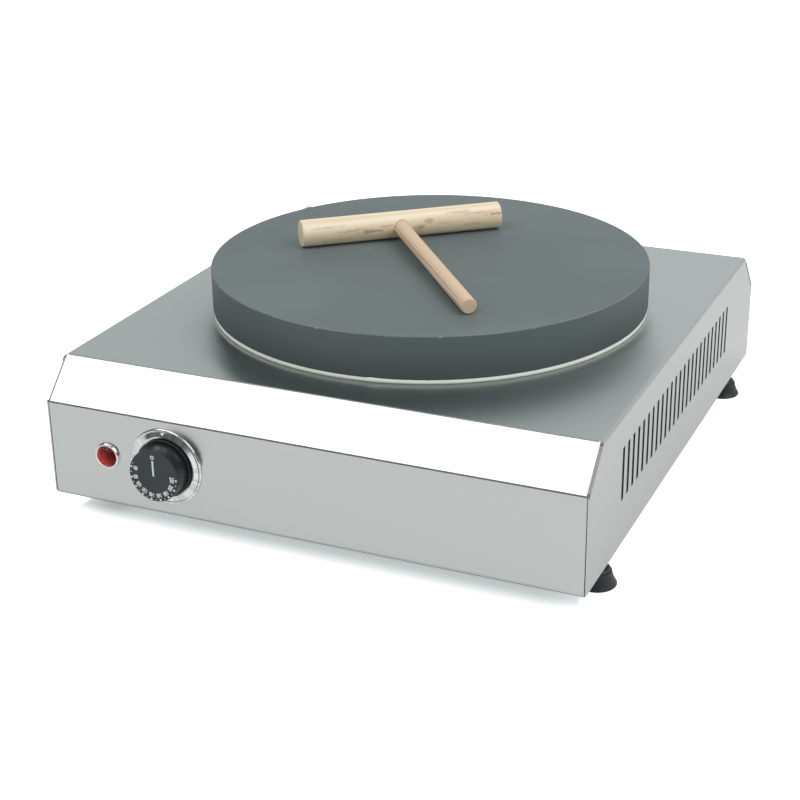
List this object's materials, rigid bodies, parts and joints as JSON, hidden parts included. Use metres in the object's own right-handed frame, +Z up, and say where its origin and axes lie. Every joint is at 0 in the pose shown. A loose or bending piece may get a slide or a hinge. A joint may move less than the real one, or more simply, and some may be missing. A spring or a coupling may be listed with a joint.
{
  "type": "electric crepe maker",
  "caption": "Electric crepe maker with a round cast iron griddle plate on a folded stainless steel housing, rotary thermostat, pilot lamp and wooden batter spreader",
  "frame": {"origin": "middle of the footprint, on the table", "axes": "+X right seen from the front, +Y from the front panel to the back, +Z up"},
  "size_m": [0.424, 0.504, 0.1923],
  "materials": {
    "housing_steel": "fine brushed stainless steel, satin",
    "plain_steel": "plain rolled steel",
    "fastener_steel": "bright zinc",
    "foot_rubber": "black moulded rubber",
    "griddle_iron": "machined and seasoned, matte",
    "gasket_weave": "woven heatproof tape",
    "element_sheath": "heat-darkened sheath",
    "ceramic": "matte ceramic",
    "mineral_wool": "pressed mineral wool",
    "copper": "drawn copper",
    "black_plastic": "moulded, matte",
    "knob_plastic": "moulded, fine matte texture",
    "bezel_chrome": "bright plated",
    "lens_red": "clear red, polished",
    "clear_glass": "clear",
    "brass": "plain",
    "lead_sleeve": "woven glass sleeve",
    "spreader_wood": "sanded, unvarnished beech"
  },
  "bodies": {
    "housing": {"body_shell": "housing_steel", "base_plate": "plain_steel", "base_screws": "fastener_steel", "foot_front_left": "foot_rubber", "foot_front_right": "foot_rubber", "foot_rear_left": "foot_rubber", "foot_rear_right": "foot_rubber", "foot_screws": "fastener_steel", "foot_nuts": "fastener_steel", "griddle_plate": "griddle_iron", "rim_gasket": "gasket_weave", "anchor_studs": "fastener_steel", "anchor_spacers": "fastener_steel", "anchor_washers": "fastener_steel", "anchor_nuts": "fastener_steel", "outer_element": "element_sheath", "inner_element": "element_sheath", "element_terminals": "ceramic", "clamp_plate": "plain_steel", "clamp_studs": "fastener_steel", "clamp_nuts": "fastener_steel", "insulation_disc": "mineral_wool", "heat_shield_pan": "plain_steel", "sensor_bulb": "copper", "sensor_clip": "plain_steel", "sensor_clip_screw": "fastener_steel", "safety_cutout": "black_plastic", "thermostat_body": "black_plastic", "thermostat_terminals": "brass", "thermostat_screws": "fastener_steel", "knob_bezel": "bezel_chrome", "lamp_ring": "bezel_chrome", "lamp_lens": "lens_red", "lamp_body": "black_plastic", "lamp_neon": "clear_glass", "lamp_nut": "black_plastic", "cable_gland_body": "black_plastic", "cable_gland_seal": "foot_rubber", "cable_gland_cap": "black_plastic", "cable_gland_locknut": "black_plastic", "terminal_block": "ceramic", "terminal_screws": "brass", "block_screws": "fastener_steel", "earth_stud": "brass", "earth_nut": "brass", "supply_leads": "lead_sleeve", "element_leads": "lead_sleeve", "lamp_leads": "lead_sleeve"},
    "dial": {"control_knob": "knob_plastic", "thermostat_spindle": "fastener_steel"},
    "spreader": {"spreader_bar": "spreader_wood", "spreader_handle": "spreader_wood"}
  },
  "joints": [
    {"name": "knob_turn", "type": "hinge", "parent": "housing", "child": "dial", "pos_m": [-0.1115, -0.234, 0.069], "axis": [0, 1, 0], "range_deg": [0, 270]},
    {"name": "spreader_lift", "type": "slide", "parent": "housing", "child": "spreader", "axis": [0, 0, 1], "range_m": [0, 0.15]}
  ]
}
